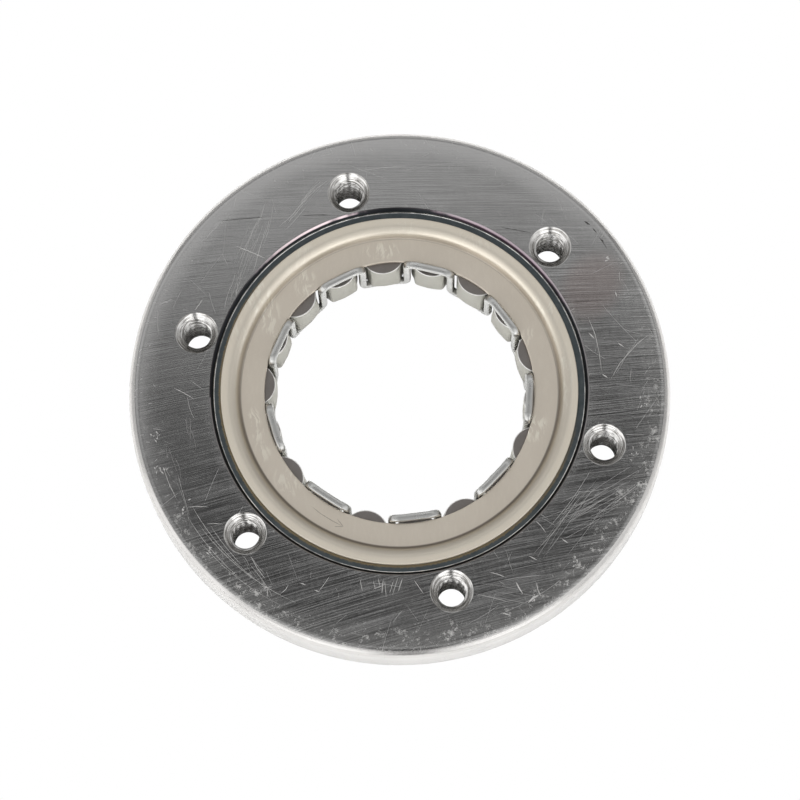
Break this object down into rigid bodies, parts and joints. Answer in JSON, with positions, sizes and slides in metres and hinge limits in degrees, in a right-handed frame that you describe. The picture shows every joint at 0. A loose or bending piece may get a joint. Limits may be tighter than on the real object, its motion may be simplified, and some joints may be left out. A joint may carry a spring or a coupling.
{
  "type": "sprag clutch",
  "caption": "Flange-mounted one-way sprag clutch: a thick outer race with a ring of threaded holes, and a caged set of sprags under a stamped side plate.",
  "frame": {"origin": "centre of the bottom face, on the clutch axis", "axes": "+Z along the clutch axis towards the side plate; +X through the first threaded hole"},
  "size_m": [0.0984, 0.0984, 0.012],
  "materials": {
    "race_steel": "turned and brushed hardened steel with fine scratches",
    "plate_steel": "satin stamped sheet, warm grey",
    "inner_cage_steel": "tumbled bright steel",
    "outer_cage_steel": "plain pressed steel",
    "ribbon_steel": "thin spring steel",
    "sprag_steel": "ground cam faces, darker ends"
  },
  "bodies": {
    "race": {"outer_race": "race_steel"},
    "cage": {"side_plate": "plate_steel", "outer_cage": "outer_cage_steel", "inner_cage": "inner_cage_steel", "ribbon_spring": "ribbon_steel"},
    "sprag_01_body": {"sprag_01": "sprag_steel"},
    "sprag_02_body": {"sprag_02": "sprag_steel"},
    "sprag_03_body": {"sprag_03": "sprag_steel"},
    "sprag_04_body": {"sprag_04": "sprag_steel"},
    "sprag_05_body": {"sprag_05": "sprag_steel"},
    "sprag_06_body": {"sprag_06": "sprag_steel"},
    "sprag_07_body": {"sprag_07": "sprag_steel"},
    "sprag_08_body": {"sprag_08": "sprag_steel"},
    "sprag_09_body": {"sprag_09": "sprag_steel"},
    "sprag_10_body": {"sprag_10": "sprag_steel"},
    "sprag_11_body": {"sprag_11": "sprag_steel"},
    "sprag_12_body": {"sprag_12": "sprag_steel"},
    "sprag_13_body": {"sprag_13": "sprag_steel"},
    "sprag_14_body": {"sprag_14": "sprag_steel"},
    "sprag_15_body": {"sprag_15": "sprag_steel"},
    "sprag_16_body": {"sprag_16": "sprag_steel"},
    "sprag_17_body": {"sprag_17": "sprag_steel"},
    "sprag_18_body": {"sprag_18": "sprag_steel"}
  },
  "joints": [
    {"name": "cage_spin", "type": "hinge", "parent": "race", "child": "cage", "pos_m": [0, 0, 0], "axis": [0, 0, 1], "continuous": true},
    {"name": "sprag_01_tilt", "type": "hinge", "parent": "cage", "child": "sprag_01_body", "pos_m": [0.02613, 0.00497, 0], "axis": [0, 0, -1], "range_deg": [0, 12], "stiffness_Nm_per_rad": 0.02},
    {"name": "sprag_02_tilt", "type": "hinge", "parent": "cage", "child": "sprag_02_body", "pos_m": [0.02286, 0.01361, 0], "axis": [0, 0, -1], "range_deg": [0, 12], "stiffness_Nm_per_rad": 0.02},
    {"name": "sprag_03_tilt", "type": "hinge", "parent": "cage", "child": "sprag_03_body", "pos_m": [0.01682, 0.0206, 0], "axis": [0, 0, -1], "range_deg": [0, 12], "stiffness_Nm_per_rad": 0.02},
    {"name": "sprag_04_tilt", "type": "hinge", "parent": "cage", "child": "sprag_04_body", "pos_m": [0.00876, 0.02512, 0], "axis": [0, 0, -1], "range_deg": [0, 12], "stiffness_Nm_per_rad": 0.02},
    {"name": "sprag_05_tilt", "type": "hinge", "parent": "cage", "child": "sprag_05_body", "pos_m": [-0.00036, 0.0266, 0], "axis": [0, 0, -1], "range_deg": [0, 12], "stiffness_Nm_per_rad": 0.02},
    {"name": "sprag_06_tilt", "type": "hinge", "parent": "cage", "child": "sprag_06_body", "pos_m": [-0.00943, 0.02487, 0], "axis": [0, 0, -1], "range_deg": [0, 12], "stiffness_Nm_per_rad": 0.02},
    {"name": "sprag_07_tilt", "type": "hinge", "parent": "cage", "child": "sprag_07_body", "pos_m": [-0.01737, 0.02015, 0], "axis": [0, 0, -1], "range_deg": [0, 12], "stiffness_Nm_per_rad": 0.02},
    {"name": "sprag_08_tilt", "type": "hinge", "parent": "cage", "child": "sprag_08_body", "pos_m": [-0.02321, 0.01299, 0], "axis": [0, 0, -1], "range_deg": [0, 12], "stiffness_Nm_per_rad": 0.02},
    {"name": "sprag_09_tilt", "type": "hinge", "parent": "cage", "child": "sprag_09_body", "pos_m": [-0.02626, 0.00427, 0], "axis": [0, 0, -1], "range_deg": [0, 12], "stiffness_Nm_per_rad": 0.02},
    {"name": "sprag_10_tilt", "type": "hinge", "parent": "cage", "child": "sprag_10_body", "pos_m": [-0.02613, -0.00497, 0], "axis": [0, 0, -1], "range_deg": [0, 12], "stiffness_Nm_per_rad": 0.02},
    {"name": "sprag_11_tilt", "type": "hinge", "parent": "cage", "child": "sprag_11_body", "pos_m": [-0.02286, -0.01361, 0], "axis": [0, 0, -1], "range_deg": [0, 12], "stiffness_Nm_per_rad": 0.02},
    {"name": "sprag_12_tilt", "type": "hinge", "parent": "cage", "child": "sprag_12_body", "pos_m": [-0.01682, -0.0206, 0], "axis": [0, 0, -1], "range_deg": [0, 12], "stiffness_Nm_per_rad": 0.02},
    {"name": "sprag_13_tilt", "type": "hinge", "parent": "cage", "child": "sprag_13_body", "pos_m": [-0.00876, -0.02512, 0], "axis": [0, 0, -1], "range_deg": [0, 12], "stiffness_Nm_per_rad": 0.02},
    {"name": "sprag_14_tilt", "type": "hinge", "parent": "cage", "child": "sprag_14_body", "pos_m": [0.00036, -0.0266, 0], "axis": [0, 0, -1], "range_deg": [0, 12], "stiffness_Nm_per_rad": 0.02},
    {"name": "sprag_15_tilt", "type": "hinge", "parent": "cage", "child": "sprag_15_body", "pos_m": [0.00943, -0.02487, 0], "axis": [0, 0, -1], "range_deg": [0, 12], "stiffness_Nm_per_rad": 0.02},
    {"name": "sprag_16_tilt", "type": "hinge", "parent": "cage", "child": "sprag_16_body", "pos_m": [0.01737, -0.02015, 0], "axis": [0, 0, -1], "range_deg": [0, 12], "stiffness_Nm_per_rad": 0.02},
    {"name": "sprag_17_tilt", "type": "hinge", "parent": "cage", "child": "sprag_17_body", "pos_m": [0.02321, -0.01299, 0], "axis": [0, 0, -1], "range_deg": [0, 12], "stiffness_Nm_per_rad": 0.02},
    {"name": "sprag_18_tilt", "type": "hinge", "parent": "cage", "child": "sprag_18_body", "pos_m": [0.02626, -0.00427, 0], "axis": [0, 0, -1], "range_deg": [0, 12], "stiffness_Nm_per_rad": 0.02}
  ],
  "couplings": [
    {"joint": "sprag_02_tilt", "follows": "sprag_01_tilt", "ratio": 1},
    {"joint": "sprag_03_tilt", "follows": "sprag_01_tilt", "ratio": 1},
    {"joint": "sprag_04_tilt", "follows": "sprag_01_tilt", "ratio": 1},
    {"joint": "sprag_05_tilt", "follows": "sprag_01_tilt", "ratio": 1},
    {"joint": "sprag_06_tilt", "follows": "sprag_01_tilt", "ratio": 1},
    {"joint": "sprag_07_tilt", "follows": "sprag_01_tilt", "ratio": 1},
    {"joint": "sprag_08_tilt", "follows": "sprag_01_tilt", "ratio": 1},
    {"joint": "sprag_09_tilt", "follows": "sprag_01_tilt", "ratio": 1},
    {"joint": "sprag_10_tilt", "follows": "sprag_01_tilt", "ratio": 1},
    {"joint": "sprag_11_tilt", "follows": "sprag_01_tilt", "ratio": 1},
    {"joint": "sprag_12_tilt", "follows": "sprag_01_tilt", "ratio": 1},
    {"joint": "sprag_13_tilt", "follows": "sprag_01_tilt", "ratio": 1},
    {"joint": "sprag_14_tilt", "follows": "sprag_01_tilt", "ratio": 1},
    {"joint": "sprag_15_tilt", "follows": "sprag_01_tilt", "ratio": 1},
    {"joint": "sprag_16_tilt", "follows": "sprag_01_tilt", "ratio": 1},
    {"joint": "sprag_17_tilt", "follows": "sprag_01_tilt", "ratio": 1},
    {"joint": "sprag_18_tilt", "follows": "sprag_01_tilt", "ratio": 1}
  ]
}
